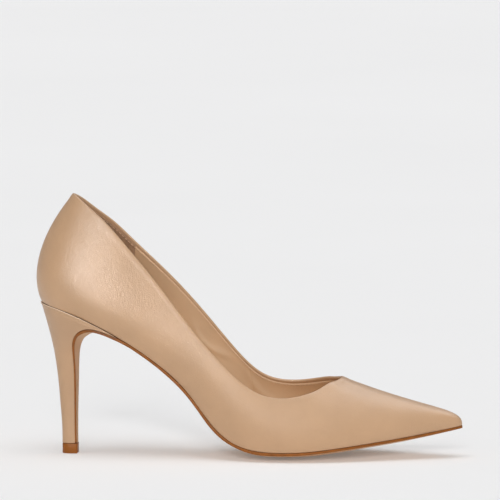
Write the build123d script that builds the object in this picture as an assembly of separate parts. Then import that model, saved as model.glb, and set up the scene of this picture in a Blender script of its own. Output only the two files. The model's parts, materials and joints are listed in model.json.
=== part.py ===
from build123d import *
import os
import numpy as np

# High heel pump, right foot. Millimetres, +Z up, +X to the toe, +Y to the inner (medial) side.
# While the shoe is drawn, x = 0 is its rearmost point and z = 0 is the ground.

# ---------------------------------------------------------------- driving dimensions
UPPER_THICK = 1.2            # upper leather
LINING_THICK = 0.8           # lining leather and heel grip
COUNTER_THICK = 1.0          # heel counter board
PUFF_THICK = 0.7             # toe puff
TAPE_THICK = 0.3             # topline tape
GLUE = 0.05                  # gap left for glue between two layers
SOLE_GAP = 0.3               # the same under the turned-in margin and over the heel
LINING_DROP = 2.2            # lining is trimmed this far below the topline
TAPE_WIDTH = 4.0
MARGIN_WIDTH = 12.0          # lasting margin turned under the insole
MARGIN_SHARE = 0.45          # its greatest width as a share of the half width, in the narrow toe
MARGIN_LEAST = 2.2
INSOLE_THICK = 1.6
SHANK_BOARD_THICK = 1.2
PAD_THICK = 1.3
SOCK_THICK = 0.9
BALL_CROWN = 3.5             # how far the bottom bellies down between its edges at the ball
SOLE_INSET = 0.4             # outsole lies this far inside the feather line
SOLE_TURN = 60.0             # x where the sole leaves the shank for the heel breast
COVER_THICK = 0.8            # leather over the heel block
TOP_PIECE_HEIGHT = 5.8
TUBE_RADIUS = 2.0
TUBE_BORE_RADIUS = 1.25
PIN_RADIUS = 1.2
SEAM_GAP = 0.0006            # half of the back seam's gap, as a share of the way round
PIECE_GAP = 0.0004           # half of the gap where two linings meet, the same way
CUTS_PER_RIB = 3             # cuts through the wall between one rib and the next
BOTTOM_CUTS = 81             # cuts across the bottom from heel to toe

# Feather line: where the upper meets the heel and the sole, seen from the side (x, z).
SOLE_LINE = [
    (2.6, 87.8), (12.8, 85.8), (22.3, 82.8), (31.2, 79.2), (39.9, 75.1), (57, 65.3), (74, 53.1),
    (90.7, 37.6), (99.2, 27), (105.2, 19.6), (111.7, 13.9), (121.6, 8.8), (130.9, 6.3), (139.8, 5.7),
    (148.5, 5.6), (168.6, 7), (190.7, 9.8), (212.6, 12.8), (234.4, 16.5), (246, 18.7)]

# Thickness of the outsole along the shoe (x, thickness).
SOLE_THICKNESS = [(70, 1.75), (125, 1.9), (170, 1.6), (246, 1.5)]

# How much of the ball's crown there is along the shoe (x, share).
CROWN_SHARE = [(45, 0.0), (75, 0.15), (108, 0.5), (130, 0.9), (165, 1.0), (205, 0.62), (246, 0.05)]

# Heel breast: where the sole leaves the shank, turns and runs down the front of the heel.
# Each row: x, z, half width, thickness at the edge, extra thickness in the middle.
BREAST_LINE = [
    (48.6, 69.6, 25.9, 1.75, 0.5), (39.1, 73.1, 25.0, 1.7, 1.2), (32.1, 74.0, 24.1, 1.7, 2.3),
    (26.7, 72.1, 22.2, 1.7, 3.0), (23.3, 68.3, 18.5, 1.6, 2.6), (22.0, 63.3, 14.9, 1.4, 1.8),
    (21.9, 58.5, 12.0, 1.2, 1.0), (22.0, 52.3, 9.3, 1.1, 0.5), (22.1, 42.1, 7.1, 1.1, 0.3),
    (22.0, 28.6, 5.4, 1.1, 0.2), (22.0, 15.2, 4.5, 1.1, 0.1), (22.1, 5.85, 4.2, 1.1, 0.1)]

# Ribs of the upper, from the back seam along the outer side to the toe and back along the inner side.
# Each rib is a four-point curve: feather (x, y), two handles (x, y, z), topline (x, y, z).
RIBS = [
    ((2.6, 0), (-5.5, 0, 104), (2.1, 0, 128), (20.9, 0, 150.7)),
    ((6.8, -14), (0, -18, 101.5), (8.1, -12.5, 125), (24.8, -8.7, 148.8)),
    ((17, -22.8), (13.5, -28, 101), (17.5, -23.5, 113), (33.1, -14.7, 142.7)),
    ((32, -26.4), (31, -33, 90), (33, -29.5, 103), (42, -18.5, 135.5)),
    ((50, -26.3), (50.8, -33, 82), (51.3, -30.5, 95), (54, -21, 122.8)),
    ((70, -24), (71, -31.5, 68), (71.5, -29.5, 81), (72, -23.5, 101.8)),
    ((90, -25), (90.5, -31.5, 50.5), (90.5, -30, 68), (90, -26.2, 79)),
    ((108, -30.5), (108.5, -35.8, 33), (108, -34, 48), (107, -29.7, 59.6)),
    ((126, -36.2), (127, -41, 19.5), (125.5, -38.5, 33.5), (123, -32.8, 45)),
    ((145, -38.5), (146.5, -43, 15.5), (141, -39.8, 28), (137, -33.4, 38)),
    ((163, -37), (165, -41.2, 15.8), (155, -38.5, 28), (149, -31.5, 37.1)),
    ((182, -31.5), (184.5, -35.5, 17.5), (169.5, -34.5, 28.8), (158.3, -27.2, 38.7)),
    ((202, -22.3), (205, -26.3, 20), (184.5, -28.8, 29.4), (165.5, -20.5, 41.3)),
    ((222, -12.6), (225.3, -16, 23.5), (200.5, -21, 29.1), (171.1, -13, 44.4)),
    ((236, -5.4), (239.7, -8, 26.9), (214, -12.5, 28.6), (174.6, -6.3, 45.3)),
    ((243.6, -1), (246.1, -2, 28.7), (223, -4.2, 27.9), (176.1, -2, 46)),
    ((246, 2.8), (246.7, 2.8, 29.3), (227.5, 2.6, 27.1), (176.4, 1.8, 46)),
    ((244.6, 6.6), (246.7, 7.8, 28.7), (224, 9, 27.4), (176.2, 5.4, 46)),
    ((238, 11), (241.2, 13.6, 26.9), (216, 16.5, 27.2), (174.8, 9.4, 45.8)),
    ((225, 17.5), (228, 21, 23.8), (203, 24.5, 26.4), (171.6, 15, 45)),
    ((207, 26), (210, 30, 20.5), (188.5, 32, 26.3), (166.7, 21.7, 44.3)),
    ((187, 33.7), (189, 38, 18.5), (174, 37.5, 27.7), (159.8, 27.6, 42.9)),
    ((167, 37.4), (168.5, 42, 16.5), (159.5, 40.5, 29.2), (150, 31, 41.3)),
    ((149, 36.8), (150.5, 41.5, 16), (145, 39.5, 31), (138.5, 32.1, 41.2)),
    ((130, 32), (131, 37, 18.5), (128, 36, 35), (125.5, 30.5, 45.8)),
    ((110, 24.5), (110.5, 30.3, 32), (109.5, 30.8, 49.7), (108, 26.5, 63.6)),
    ((90, 20), (90.5, 27.5, 50.5), (90.5, 28, 71.5), (90, 23.8, 85.4)),
    ((70, 20), (71, 28.8, 68), (71.5, 27.3, 82), (72, 21.9, 104.6)),
    ((50, 24), (50.8, 31.8, 82), (51.3, 29, 95), (54, 19.9, 121.9)),
    ((32, 26.2), (31, 32.8, 90), (33, 29, 102), (42, 17.7, 133.4)),
    ((17, 22.7), (13.5, 28, 101), (17.5, 23.2, 112), (33.1, 14.1, 140.5)),
    ((6.8, 14), (0, 18, 101.5), (8.1, 12.3, 124.5), (24.8, 8.5, 147.5))]

# Heel sections: rear point (x, z), front point (x, z), x of the widest place, half width.
HEEL_SECTIONS = [
    ((14.4, 5.0), (26.0, 5.0), 18.8, 4.3),
    ((14.2, 16), (26.0, 15.5), 18.7, 4.6),
    ((13.3, 28), (26.0, 27), 18.7, 5.4),
    ((12.1, 42), (27.0, 40), 19, 6.8),
    ((10.4, 55), (30.0, 51), 20, 9.4),
    ((8.7, 64), (36.0, 57), 21.5, 12.9),
    ((6.9, 71.5), (42.0, 62), 24, 17.6),
    ((4.7, 79.5), (52.0, 65), 28, 22.8)]
SEAT_SECTION = (2.5, 52.0, 32.0, 26.5)          # rear x, front x, widest x, half width
SEAT_CAP = ((2.5, 93.0), (52.0, 76.0), 32.0, 26.5)
HEEL_FRONT = 46.5                               # the wings of the heel end here
TOP_PIECE_SECTION = (14.4, 23.3, 18.8, 4.5)     # rear x, front x, widest x, half width
BORE_LOW = (18.4, TOP_PIECE_HEIGHT)             # axis of the tube in the heel (x, z)
BORE_HIGH = (17.0, 58.0)
PIN_SPAN = (2.2, 20.0)                          # heights between which the top piece's pin reaches
PAST = 1.0                                      # how far a cutting tool goes past the face it cuts

# Layers on the insole: lift of the underside above the lasted upper's underside, and thickness.
INSOLE_LIFT = UPPER_THICK + SOLE_GAP
SHANK_BOARD_LIFT = INSOLE_LIFT + INSOLE_THICK + GLUE
FRONT_PAD_LIFT = SHANK_BOARD_LIFT
HEEL_PAD_LIFT = SHANK_BOARD_LIFT + SHANK_BOARD_THICK + GLUE
BOARD_INSET = 3.6                               # insole and shank board inside the feather line
PAD_INSET = 4.6
SOCK_INSET = 3.4
SHANK_SPAN = (38.0, 120.0)
SHANK_WIDTH = 11.0
SHANK_THICK = 1.0
SHANK_LIFT = 0.1
FILLER_SPAN = (122.0, 228.0)
FILLER_GAP = 1.2                                # left between the filler and the turned-under margin
SHANK_BOARD_END = 112.0
FRONT_PAD_SPAN = (118.0, 213.0)
HEEL_PAD_END = 57.5
SOCK_RAMPS = (61.0, 70.0, 106.0, 111.0, 218.0, 228.0)   # x where the sock steps off and onto the pads

# Depths of the wall's inner layers below the outside of the upper.
STIFFENER_DEPTH = UPPER_THICK + GLUE
LINING_DEPTH = STIFFENER_DEPTH + TAPE_THICK + GLUE
TOE_LINING_DEPTH = STIFFENER_DEPTH + PUFF_THICK + GLUE
GRIP_DEPTH = STIFFENER_DEPTH + COUNTER_THICK + GLUE
LINING_FOOT = 1.6                               # height of the lining's lower edge
GRIP_END = 51.0                                 # x where the heel grip meets the quarter lining
COUNTER_END = 48.0
VAMP_SEAM = 122.0                               # x where the quarter lining meets the vamp lining
PUFF_START = 214.0
COUNTER_TOP_GAP = 9.0                           # counter ends this far below the topline at the back,
COUNTER_FALL = 26.0                             # and this much lower again at its front ends
PUFF_TOP = 0.48                                 # puff's height as a share of the rib at the toe,
PUFF_FALL = 0.2                                 # and how much less at its ends
TOE_STEP = (195.0, 208.0)                       # x over which the vamp lining steps in over the puff
TAPE_DROP = 0.5                                 # tape starts this far below the topline

# Fasteners: x, y, shaft radius, head radius, shaft length below the head.
SCREW = (20.0, 0.0, 2.0, 3.6, 20.0)
NAILS = [(12.0, -9.0), (12.0, 9.0), (27.0, -13.0), (27.0, 13.0)]
NAIL_SIZE = (0.9, 2.0, 14.0)
RIVETS = [50.0, 100.0]                          # x of the two rivets
RIVET_SIZE = (1.6, 3.0)
HEAD_THICK = 0.6
RIVET_END = 0.15                                # rivets end this far above the sole


# ---------------------------------------------------------------- curves
def spline_slopes(knots, values, closed):
    """Slopes of the curvature-continuous cubic through the values, closed on itself or free at its ends."""
    steps = np.diff(knots)
    rises = np.diff(values, axis=0) / steps[:, None]
    count = len(steps) if closed else len(knots)
    matrix = np.zeros((count, count))
    right = np.zeros((count, values.shape[1]))
    for i in range(count):
        if not closed and i in (0, count - 1):
            matrix[i, i] = 2.0
            matrix[i, 1 if i == 0 else i - 1] = 1.0
            right[i] = 3.0 * rises[0 if i == 0 else -1]
            continue
        before = steps[i - 1]
        after = steps[i % len(steps)]
        matrix[i, (i - 1) % count] += after
        matrix[i, i] += 2.0 * (before + after)
        matrix[i, (i + 1) % count] += before
        right[i] = 3.0 * (after * rises[i - 1] + before * rises[i % len(steps)])
    slopes = np.linalg.solve(matrix, right)
    return np.vstack([slopes, slopes[:1]]) if closed else slopes


def spline_at(knots, values, slopes, where):
    """Points of that cubic at the places in where."""
    where = np.atleast_1d(where)
    span = np.clip(np.searchsorted(knots, where, side="right") - 1, 0, len(knots) - 2)
    width = (knots[span + 1] - knots[span])[:, None]
    t = (where - knots[span])[:, None] / width
    start, end = values[span], values[span + 1]
    out, into = slopes[span] * width, slopes[span + 1] * width
    blend = (2 * t**3 - 3 * t**2 + 1) * start + (3 * t**2 - 2 * t**3) * end
    return blend + (t**3 - 2 * t**2 + t) * out + (t**3 - t**2) * into


def smooth_line(points, count=800):
    """Many points along a smooth open line through a few."""
    values = np.array(points, float)
    lengths = np.linalg.norm(np.diff(values, axis=0), axis=1)
    knots = np.concatenate([[0.0], np.cumsum(lengths)])
    slopes = spline_slopes(knots, values, False)
    return spline_at(knots, values, slopes, np.linspace(0.0, knots[-1], count))


SOLE = smooth_line(SOLE_LINE)


def sole_z(x):
    """Height of the feather line at x."""
    return np.interp(x, SOLE[:, 0], SOLE[:, 1])


# ---------------------------------------------------------------- the wall of the upper
def rib_rings():
    """Closed splines through the four rings of rib points, with one shared parameter u from 0 to 1."""
    rows = [[(f[0], f[1], float(sole_z(f[0]))), low, high, top] for f, low, high, top in RIBS]
    rings = np.array(rows + rows[:1], float)
    feather_steps = np.linalg.norm(np.diff(rings[:, 0], axis=0), axis=1)
    topline_steps = np.linalg.norm(np.diff(rings[:, 3], axis=0), axis=1)
    knots = np.concatenate([[0.0], np.cumsum(feather_steps + topline_steps)])
    flat = rings.reshape(len(rings), 12)
    return knots / knots[-1], flat, spline_slopes(knots / knots[-1], flat, True)


KNOTS, RING_POINTS, RING_SLOPES = rib_rings()


def wall(u, v):
    """Outer surface of the upper: u goes round the shoe, v goes from the feather line to the topline."""
    ribs = spline_at(KNOTS, RING_POINTS, RING_SLOPES, np.mod(u, 1.0)).reshape(-1, 1, 4, 3)
    v = np.atleast_1d(v)[None, :, None]
    low = (1 - v)**3 * ribs[:, :, 0] + 3 * v * (1 - v)**2 * ribs[:, :, 1]
    return low + 3 * v**2 * (1 - v) * ribs[:, :, 2] + v**3 * ribs[:, :, 3]


def wall_inside(u, v, depth):
    """The same surface moved inwards by depth."""
    small = 1e-4
    along = wall(u + small, v) - wall(u - small, v)
    up = wall(u, v + small) - wall(u, v - small)
    normal = np.cross(along, up)
    normal /= np.linalg.norm(normal, axis=2, keepdims=True)
    return wall(u, v) - depth * normal


def height_share(u, from_feather=None, from_topline=None):
    """The v that lies this far, along the rib, above the feather line or below the topline."""
    shares = np.linspace(0.0, 1.0, 201)
    rib = wall(np.array([u]), shares)[0]
    run = np.concatenate([[0.0], np.cumsum(np.linalg.norm(np.diff(rib, axis=0), axis=1))])
    target = from_feather if from_topline is None else run[-1] - from_topline
    return float(np.interp(target, run, shares))


def place_of_x(x, side):
    """The u whose feather point lies at x, on side -1 (outer) or +1 (inner)."""
    shares = np.linspace(0.0, 1.0, 2001)
    feather = wall(shares, 0.0)[:, 0]
    toe = int(np.argmax(feather[:, 0]))
    part = slice(0, toe) if side < 0 else slice(toe, None)
    order = np.argsort(feather[part, 0])
    return float(np.interp(x, feather[part, 0][order], shares[part][order]))


def wall_stations():
    """The places round the shoe where every layer of the wall is cut, so that layers nest."""
    fine = np.interp(np.arange(0, CUTS_PER_RIB * (len(KNOTS) - 1) + 1) / CUTS_PER_RIB,
                     np.arange(len(KNOTS)), KNOTS)
    fine[0], fine[-1] = SEAM_GAP, 1.0 - SEAM_GAP
    return fine


STATIONS = wall_stations()
AROUND_TWICE = np.concatenate([STATIONS - 1.0, STATIONS])


def stations_between(start, end):
    inside = AROUND_TWICE[(AROUND_TWICE > start + 0.001) & (AROUND_TWICE < end - 0.001)]
    return np.concatenate([[start], inside, [end]])


FEATHER = wall(np.linspace(0.0, 1.0, 1201), 0.0)[:, 0]
TOE = int(np.argmax(FEATHER[:, 0]))
TOE_U = TOE / 1200.0


def edge_y(x, side):
    """The feather line's y at x, on side -1 (outer) or +1 (inner)."""
    part = FEATHER[:TOE] if side < 0 else FEATHER[TOE:][::-1]
    return np.interp(x, part[:, 0], part[:, 1])


def bottom_z(x, y):
    """Underside of the lasted upper: the feather line's height, bellied down between the two edges."""
    outer, inner = edge_y(x, -1), edge_y(x, 1)
    middle, half = (outer + inner) / 2.0, max((inner - outer) / 2.0, 1.0)
    crown = BALL_CROWN * np.interp(x, *np.transpose(CROWN_SHARE))
    return float(sole_z(x) - crown * (1.0 - ((y - middle) / half)**2))


def slope_stretch(x):
    """Vertical depth of a layer that is 1 mm thick across its own slope."""
    rise = float(sole_z(x + 1.0) - sole_z(x - 1.0)) / 2.0
    return (1.0 + rise**2)**0.5


# ---------------------------------------------------------------- solids from ribs
def vectors(points):
    return [Vector(*[float(c) for c in p]) for p in points]


def loop_wire(rows):
    """A closed wire from rows of points, each row one edge that starts where the last one ended."""
    edges = []
    for row in rows:
        points = vectors(row)
        edges.append(Edge.make_line(*points) if len(points) == 2 else Edge.make_spline(points))
    return Wire(edges)


def layer_wire(u, low, high, depth, thick, ended):
    """One cut through a layer of the wall at u, between two shares of the rib's height."""
    shares = np.linspace(low, high, 9)
    place = np.array([u])
    outer = wall_inside(place, shares, depth)[0]
    inner = wall_inside(place, shares, depth + thick)[0]
    if ended:
        both = plane_fit(np.vstack([outer, inner]))
        outer, inner = both[:9], both[9:]
    return loop_wire([outer, [outer[-1], inner[-1]], inner[::-1], [inner[0], outer[0]]])


def wall_strip(start_u, end_u, low, high, depth, thick):
    """A layer of the wall between two places round the shoe; low, high and depth are functions of u."""
    stations = stations_between(start_u, end_u)
    ends = (stations[0], stations[-1])
    wires = [layer_wire(u, low(u), high(u), depth(u), thick, u in ends) for u in stations]
    return Solid.make_loft(wires, True)


def plane_fit(points):
    """The points, moved by the least amount onto their common plane."""
    middle = points.mean(axis=0)
    normal = np.linalg.svd(points - middle)[2][2]
    return points - np.outer((points - middle) @ normal, normal)


def inward_point(u, distance, lift):
    """A point on the shoe's underside, distance inside the feather line, lifted by lift."""
    ring = wall(np.array([u - 2e-4, u, u + 2e-4]), 0.0)[:, 0]
    along = ring[2] - ring[0]
    length = (along[0]**2 + along[1]**2)**0.5
    x = ring[1][0] - along[1] / length * distance
    y = ring[1][1] + along[0] / length * distance
    return [x, y, bottom_z(x, y) + lift * slope_stretch(x)]


def half_width_at(x):
    return float(edge_y(x, 1) - edge_y(x, -1)) / 2.0


def margin_width(x):
    """The turned-under margin, narrower in the toe where the two sides meet."""
    return min(MARGIN_WIDTH, max(MARGIN_SHARE * half_width_at(x), MARGIN_LEAST))


def make_upper():
    wires = []
    for u in STATIONS:
        place = np.array([u])
        first = height_share(u, from_feather=UPPER_THICK)
        outer = wall_inside(place, np.linspace(0.0, 1.0, 9), 0.0)[0]
        inner = wall_inside(place, np.linspace(first, 1.0, 9), UPPER_THICK)[0]
        steps = np.linspace(0.0, margin_width(outer[0, 0]), 4)
        under = np.array([inward_point(u, d, 0.0) for d in steps])
        over = np.array([inward_point(u, d, UPPER_THICK) for d in steps[1:]])
        under[0] = outer[0]
        over = np.vstack([inner[:1], over])
        if u in (STATIONS[0], STATIONS[-1]):
            joined = plane_fit(np.vstack([outer, inner, under, over]))
            outer, inner, under, over = joined[:9], joined[9:18], joined[18:22], joined[22:]
            under[0], over[0] = outer[0], inner[0]
        wires.append(loop_wire([outer, [outer[-1], inner[-1]], inner[::-1], over,
                                [over[-1], under[-1]], under[::-1]]))
    return Solid.make_loft(wires, True)


def fixed_depth(depth):
    return lambda u: depth


def above_margin(u):
    """The lower edge of the lining and stiffeners, just over the turned-under margin."""
    return height_share(u, from_feather=LINING_FOOT)


def make_lining(start_u, end_u, depth):
    """A piece of lining between two places round the shoe."""
    return wall_strip(start_u, end_u, above_margin, lambda u: height_share(u, from_topline=LINING_DROP),
                      depth, LINING_THICK)


def toe_depth(u):
    """The vamp lining goes deeper where the toe puff lies under it."""
    x = float(wall(np.array([u]), 0.0)[0, 0, 0])
    return float(np.interp(x, TOE_STEP, [LINING_DEPTH, TOE_LINING_DEPTH]))


def make_counter():
    end = place_of_x(COUNTER_END, -1)
    start = place_of_x(COUNTER_END, 1) - 1.0

    def top(u):
        reach = (u / end) if u > 0 else (u / start)
        return height_share(u, from_topline=COUNTER_TOP_GAP + COUNTER_FALL * reach**2)

    return wall_strip(start, end, above_margin, top, fixed_depth(STIFFENER_DEPTH), COUNTER_THICK)


def make_puff():
    start, end = place_of_x(PUFF_START, -1), place_of_x(PUFF_START, 1)

    def top(u):
        reach = (u - TOE_U) / ((start if u < TOE_U else end) - TOE_U)
        return PUFF_TOP - PUFF_FALL * reach**2

    return wall_strip(start, end, above_margin, top, fixed_depth(STIFFENER_DEPTH), PUFF_THICK)


def make_tape():
    return wall_strip(SEAM_GAP, 1.0 - SEAM_GAP,
                      lambda u: height_share(u, from_topline=TAPE_DROP + TAPE_WIDTH),
                      lambda u: height_share(u, from_topline=TAPE_DROP),
                      fixed_depth(STIFFENER_DEPTH), TAPE_THICK)


# ---------------------------------------------------------------- layers of the bottom
def inset_edges(inset):
    """The feather outline moved in: its rear x, front x, and outer and inner y as functions of x."""
    ring = FEATHER[:-1, :2]
    along = np.roll(ring, -1, axis=0) - np.roll(ring, 1, axis=0)
    along /= np.linalg.norm(along, axis=1, keepdims=True)
    moved = ring + inset * np.column_stack([-along[:, 1], along[:, 0]])
    moved = np.roll(moved, -int(np.argmin(moved[:, 0])), axis=0)
    front = int(np.argmax(moved[:, 0]))
    outer = moved[:front + 1]
    inner = np.vstack([moved[front:], moved[:1]])[::-1]
    return outer[0, 0], outer[-1, 0], lambda x: np.interp(x, *outer.T), lambda x: np.interp(x, *inner.T)


def bottom_stations(rear, front, start, end):
    """Where a bottom layer is cut: its rounded ends, or the common cuts nearest to start and end."""
    turns = np.linspace(0.0, np.pi, BOTTOM_CUTS)
    common = SOLE_LINE[0][0] + (SOLE_LINE[-1][0] - SOLE_LINE[0][0]) * (1.0 - np.cos(turns)) / 2.0
    first = rear + 0.25 if start is None else common[np.argmin(abs(common - start))]
    last = front - 0.4 if end is None else common[np.argmin(abs(common - end))]
    inside = common[(common > first + 0.05) & (common < last - 0.05)]
    return [float(x) for x in (first, *inside, last)]


def bottom_layer(low, thick, inset, start=None, end=None, half_width=None):
    """A layer that follows the shoe's underside; low is a number or a function of x."""
    rear, front, outer_edge, inner_edge = inset_edges(inset)
    wires = []
    for x in bottom_stations(rear, front, start, end):
        outer, inner = float(outer_edge(x)), float(inner_edge(x))
        if half_width is not None:
            half = half_width(x) if callable(half_width) else half_width
            outer, inner = (outer + inner) / 2.0 - half, (outer + inner) / 2.0 + half
        lift = low(x) if callable(low) else low
        across = np.linspace(outer, inner, 7)
        stretch = slope_stretch(x)
        under = np.array([[x, y, bottom_z(x, y) + lift * stretch] for y in across])
        over = under + [0.0, 0.0, thick * stretch]
        wires.append(loop_wire([under, [under[-1], over[-1]], over[::-1], [over[0], under[0]]]))
    return Solid.make_loft(wires, True)


def sock_lift(x):
    """The sock rises over the two pads and lies on the board between them."""
    on_board = SHANK_BOARD_LIFT + SHANK_BOARD_THICK + SOLE_GAP
    on_heel_pad = HEEL_PAD_LIFT + PAD_THICK + SOLE_GAP
    on_front_pad = FRONT_PAD_LIFT + PAD_THICK + SOLE_GAP
    lifts = [on_heel_pad, on_board, on_board, on_front_pad, on_front_pad, SHANK_BOARD_LIFT]
    return float(np.interp(x, SOCK_RAMPS, lifts))


def filler_half(x):
    """Half the filler's width: it lies between the two turned-under margins."""
    return half_width_at(x) - margin_width(x) - FILLER_GAP


def sole_section(x, z, tangent, outer, inner, crown, edge_thick, bulge):
    """One cut across the outsole, square to its run; tangent points along the run (x, z)."""
    down = np.array([-tangent[1], 0.0, tangent[0]])
    across = np.linspace(outer, inner, 9)
    share = 1.0 - (2.0 * (across - outer) / (inner - outer) - 1.0)**2
    top = np.array([[x, y, z] for y in across]) + np.outer(crown * share + SOLE_GAP, down)
    low = top + np.outer(edge_thick + bulge * share, down)
    return loop_wire([top, [top[-1], low[-1]], low[::-1], [low[0], top[0]]])


def make_outsole():
    _, front, outer_edge, inner_edge = inset_edges(SOLE_INSET)
    wires = []
    turns = np.linspace(0.0, np.pi / 2.0, 40)
    for x in SOLE_TURN + (front - 0.5 - SOLE_TURN) * np.sin(turns[::-1]):
        slope = float(sole_z(x + 0.5) - sole_z(x - 0.5))
        run = -np.array([1.0, slope]) / (1.0 + slope**2)**0.5
        middle = (edge_y(x, 1) + edge_y(x, -1)) / 2.0
        crown = (sole_z(x) - bottom_z(x, middle)) * -run[0]
        thick = float(np.interp(x, *np.transpose(SOLE_THICKNESS)))
        wires.append(sole_section(x, float(sole_z(x)), run, float(outer_edge(x)), float(inner_edge(x)),
                                  float(crown), thick, 0.0))
    rows = [(x, float(sole_z(x)), float(outer_edge(x)), float(inner_edge(x)), SOLE_THICKNESS[0][1], 0.0, c)
            for x, c in ((66.0, 0.4), (57.0, 0.2))]
    rows += [(x, z, -half, half, thick, bulge, 0.0) for x, z, half, thick, bulge in BREAST_LINE]
    line = smooth_line(rows, 900)
    first = int(np.argmax(line[:, 0] < SOLE_TURN - 1.0))
    for k in np.linspace(first, len(line) - 2, 46).astype(int):
        x, z, outer, inner, thick, bulge, crown = line[k]
        run = line[k + 1, :2] - line[k - 1, :2]
        wires.append(sole_section(x, z, run / np.linalg.norm(run), outer, inner, crown, thick, bulge))
    return Solid.make_loft(wires, True)


# ---------------------------------------------------------------- heel
def heel_outline(rear, front, widest, half, inset):
    """Plan points of a heel section: straight sides behind its front edge, round at the back."""
    turns = np.linspace(-np.pi / 2.0, np.pi / 2.0, 13)
    round_x = widest - (widest - rear - inset) * np.cos(turns)
    round_y = (half - inset) * np.sin(turns)
    sides = np.linspace(front, widest, 4)[:-1]
    x = np.concatenate([sides, round_x, sides[::-1]])
    y = np.concatenate([np.full(3, -(half - inset)), round_y, np.full(3, half - inset)])
    return x, y


def heel_wire(section, inset):
    (rear, rear_z), (front, front_z), widest, half = section
    x, y = heel_outline(rear, front, widest, half, inset)
    z = rear_z + (front_z - rear_z) * (x - rear) / (front - rear)
    return outline_wire(np.column_stack([x, y, z]))


def outline_wire(points):
    return Wire([Edge.make_spline(vectors(points)), Edge.make_line(*vectors([points[-1], points[0]]))])


def heel_body(inset):
    """The heel's outer form, moved in by inset, still untrimmed at the seat and the breast."""
    rear, front, widest, half = SEAT_SECTION
    x, y = heel_outline(rear, front, widest, half, inset)
    seat = np.column_stack([x, y, sole_z(x)])
    wires = [heel_wire(section, inset) for section in HEEL_SECTIONS]
    wires += [outline_wire(seat), heel_wire(SEAT_CAP, inset)]
    return Solid.make_loft(wires, True)


def heel_side_view():
    """The heel's outline from the side, pulled out sideways: it trims the seat, the breast and the foot."""
    rows = [(57.0, float(sole_z(57.0)))] + [(x, z) for x, z, *_ in BREAST_LINE]
    breast = smooth_line(rows, 400)
    breast = breast[breast[:, 0] <= HEEL_FRONT][::12]
    breast = np.vstack([breast, [BREAST_LINE[-1][0], TOP_PIECE_HEIGHT + GLUE]])
    seat = [(x, float(sole_z(x)) - SOLE_GAP) for x in np.linspace(3.0, HEEL_FRONT, 9)]

    def place(points):
        return [Vector(x, 0.0, z) for x, z in points]

    edges = [Edge.make_spline(place(seat)), Edge.make_line(*place([seat[-1], breast[0]])),
             Edge.make_spline(place(breast))]
    behind = -6.0
    foot = [tuple(breast[-1]), (behind, breast[-1][1]), (behind, seat[0][1] + 1.5), seat[0]]
    edges += [Edge.make_line(*place(pair)) for pair in zip(foot[:-1], foot[1:])]
    face = Face(Wire(edges))
    return Solid.extrude(face, Vector(0, 80, 0)).moved(Location((0, -40, 0)))


def bore_point(z):
    share = (z - BORE_LOW[1]) / (BORE_HIGH[1] - BORE_LOW[1])
    return Vector(BORE_LOW[0] + share * (BORE_HIGH[0] - BORE_LOW[0]), 0, z)


def bore_rod(low, high, radius):
    """A round rod on the heel's tube axis between two heights."""
    start, end = bore_point(low), bore_point(high)
    along = (end - start).normalized()
    return Solid.make_cylinder(radius, (end - start).length, Plane(origin=start, z_dir=along))


def fastener(x, y, lift, radius, head_radius, length, clearance=0.0):
    """A headed shaft square to the insole, its head's top at this lift; clearance makes its hole."""
    slope = float(sole_z(x + 0.5) - sole_z(x - 0.5))
    up = Vector(-slope, 0, 1).normalized()
    top = Vector(x, y, bottom_z(x, y)) + up * lift
    base = Plane(origin=top - up * (length + clearance), z_dir=up)
    shaft = Solid.make_cylinder(radius + clearance, length + clearance, base)
    head_base = Plane(origin=top - up * HEAD_THICK - up * clearance, z_dir=up)
    head = Solid.make_cylinder(head_radius + clearance, HEAD_THICK + 4.0 * clearance, head_base)
    return (shaft + head).solid()


def heel_fasteners(clearance=0.0):
    """The screw, then the four nails."""
    lift = SHANK_BOARD_LIFT + SHANK_BOARD_THICK - GLUE
    x, y, radius, head, length = SCREW
    made = [fastener(x, y, lift, radius, head, length, clearance)]
    radius, head, length = NAIL_SIZE
    made += [fastener(x, y, lift, radius, head, length, clearance) for x, y in NAILS]
    return made


def rivets(clearance=0.0):
    lift = SHANK_BOARD_LIFT + SHANK_BOARD_THICK - GLUE
    radius, head = RIVET_SIZE
    middles = [float(edge_y(x, 1) + edge_y(x, -1)) / 2.0 for x in RIVETS]
    length = lift - RIVET_END
    return [fastener(x, y, lift, radius, head, length, clearance) for x, y in zip(RIVETS, middles)]


def cut_all(body, tools):
    for tool in tools:
        body = body - tool
    return body.solid()


def make_top_piece():
    rear, front, widest, half = TOP_PIECE_SECTION
    x, y = heel_outline(rear, front, widest, half, 0.0)
    face = Face(outline_wire(np.column_stack([x, y, np.zeros(len(x))])))
    block = Solid.extrude(face, Vector(0, 0, TOP_PIECE_HEIGHT - GLUE))
    return cut_all(block, [bore_rod(PIN_SPAN[0], TOP_PIECE_HEIGHT + PAST, PIN_RADIUS)])


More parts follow.
